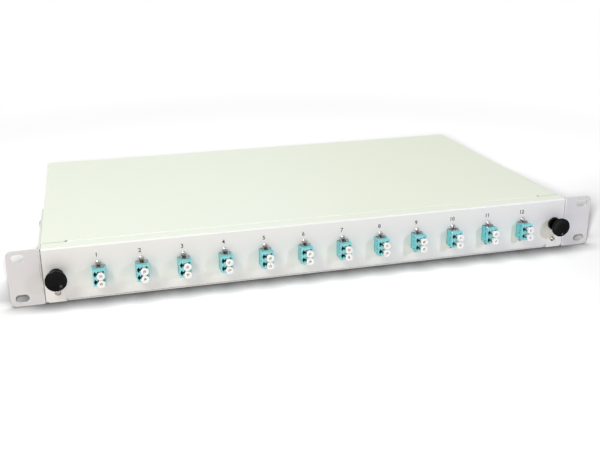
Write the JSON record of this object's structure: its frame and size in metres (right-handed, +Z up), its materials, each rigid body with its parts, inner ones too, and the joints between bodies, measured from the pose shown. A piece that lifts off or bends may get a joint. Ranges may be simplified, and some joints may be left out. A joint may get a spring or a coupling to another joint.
{
  "type": "patch panel",
  "caption": "Sliding rack patch panel for optical fibre: steel case, drawer with a row of duplex couplers and push-pull latches.",
  "frame": {"origin": "centre of the four rack slots, on the rear face of the ears, where they bear on the rack posts", "axes": "+X to the right seen from the front, along the panel's width; +Y to the rear; +Z up"},
  "size_m": [0.482, 0.2906, 0.0436],
  "materials": {
    "case_paint": "fine matt powder coat, warm off-white",
    "ear_paint": "fine matt powder coat, light grey",
    "drawer_paint": "fine matt powder coat, light grey",
    "screw_steel": "bright nickel plate",
    "zinc_steel": "zinc plated, satin",
    "rivet_metal": "plain",
    "nylon": "natural nylon",
    "gland_plastic": "moulded, black",
    "seal_rubber": "soft, black",
    "coupler_plastic": "moulded, aqua",
    "spring_steel": "spring steel",
    "ceramic": "polished zirconia",
    "latch_plastic": "moulded, glossy black",
    "cassette_plastic": "moulded, grey",
    "holder_plastic": "moulded, black",
    "lid_plastic": "moulded, grey",
    "clip_plastic": "natural nylon",
    "cap_plastic": "soft moulded, white"
  },
  "bodies": {
    "case": {"case_shell": "case_paint", "base_pan": "case_paint", "case_screws": "screw_steel", "ear_left": "ear_paint", "ear_right": "ear_paint", "ear_screws": "screw_steel", "ear_nuts": "zinc_steel", "rail_left": "zinc_steel", "rail_right": "zinc_steel", "rail_rivets": "rivet_metal", "rail_glides": "nylon", "gland_body_left": "gland_plastic", "gland_body_right": "gland_plastic", "gland_lock_nuts": "gland_plastic", "gland_caps": "gland_plastic", "gland_seals": "seal_rubber", "blanking_plugs": "gland_plastic"},
    "drawer": {"drawer_tray": "drawer_paint", "runner_left": "zinc_steel", "runner_right": "zinc_steel", "runner_glides": "nylon", "runner_rivets": "rivet_metal", "coupler_01": "coupler_plastic", "coupler_02": "coupler_plastic", "coupler_03": "coupler_plastic", "coupler_04": "coupler_plastic", "coupler_05": "coupler_plastic", "coupler_06": "coupler_plastic", "coupler_07": "coupler_plastic", "coupler_08": "coupler_plastic", "coupler_09": "coupler_plastic", "coupler_10": "coupler_plastic", "coupler_11": "coupler_plastic", "coupler_12": "coupler_plastic", "coupler_springs": "spring_steel", "coupler_screws": "screw_steel", "coupler_nuts": "zinc_steel", "alignment_sleeves": "ceramic", "latch_bush_left": "latch_plastic", "latch_bush_right": "latch_plastic", "lock_screws": "screw_steel", "splice_cassette": "cassette_plastic", "splice_holder": "holder_plastic", "cassette_lid": "lid_plastic", "cassette_screws": "screw_steel", "fibre_clips": "clip_plastic"},
    "latch_left": {"latch_plunger_left": "latch_plastic"},
    "latch_right": {"latch_plunger_right": "latch_plastic"},
    "caps_01": {"dust_caps_01": "cap_plastic"},
    "caps_02": {"dust_caps_02": "cap_plastic"},
    "caps_03": {"dust_caps_03": "cap_plastic"},
    "caps_04": {"dust_caps_04": "cap_plastic"},
    "caps_05": {"dust_caps_05": "cap_plastic"},
    "caps_06": {"dust_caps_06": "cap_plastic"},
    "caps_07": {"dust_caps_07": "cap_plastic"},
    "caps_08": {"dust_caps_08": "cap_plastic"},
    "caps_09": {"dust_caps_09": "cap_plastic"},
    "caps_10": {"dust_caps_10": "cap_plastic"},
    "caps_11": {"dust_caps_11": "cap_plastic"},
    "caps_12": {"dust_caps_12": "cap_plastic"}
  },
  "joints": [
    {"name": "drawer_slide", "type": "slide", "parent": "case", "child": "drawer", "axis": [0, -1, 0], "range_m": [0, 0.18]},
    {"name": "latch_left_pull", "type": "slide", "parent": "drawer", "child": "latch_left", "axis": [0, -1, 0], "range_m": [0, 0.006]},
    {"name": "latch_right_pull", "type": "slide", "parent": "drawer", "child": "latch_right", "axis": [0, -1, 0], "range_m": [0, 0.006]},
    {"name": "caps_01_pull", "type": "slide", "parent": "drawer", "child": "caps_01", "axis": [0, -1, 0], "range_m": [0, 0.012]},
    {"name": "caps_02_pull", "type": "slide", "parent": "drawer", "child": "caps_02", "axis": [0, -1, 0], "range_m": [0, 0.012]},
    {"name": "caps_03_pull", "type": "slide", "parent": "drawer", "child": "caps_03", "axis": [0, -1, 0], "range_m": [0, 0.012]},
    {"name": "caps_04_pull", "type": "slide", "parent": "drawer", "child": "caps_04", "axis": [0, -1, 0], "range_m": [0, 0.012]},
    {"name": "caps_05_pull", "type": "slide", "parent": "drawer", "child": "caps_05", "axis": [0, -1, 0], "range_m": [0, 0.012]},
    {"name": "caps_06_pull", "type": "slide", "parent": "drawer", "child": "caps_06", "axis": [0, -1, 0], "range_m": [0, 0.012]},
    {"name": "caps_07_pull", "type": "slide", "parent": "drawer", "child": "caps_07", "axis": [0, -1, 0], "range_m": [0, 0.012]},
    {"name": "caps_08_pull", "type": "slide", "parent": "drawer", "child": "caps_08", "axis": [0, -1, 0], "range_m": [0, 0.012]},
    {"name": "caps_09_pull", "type": "slide", "parent": "drawer", "child": "caps_09", "axis": [0, -1, 0], "range_m": [0, 0.012]},
    {"name": "caps_10_pull", "type": "slide", "parent": "drawer", "child": "caps_10", "axis": [0, -1, 0], "range_m": [0, 0.012]},
    {"name": "caps_11_pull", "type": "slide", "parent": "drawer", "child": "caps_11", "axis": [0, -1, 0], "range_m": [0, 0.012]},
    {"name": "caps_12_pull", "type": "slide", "parent": "drawer", "child": "caps_12", "axis": [0, -1, 0], "range_m": [0, 0.012]}
  ]
}
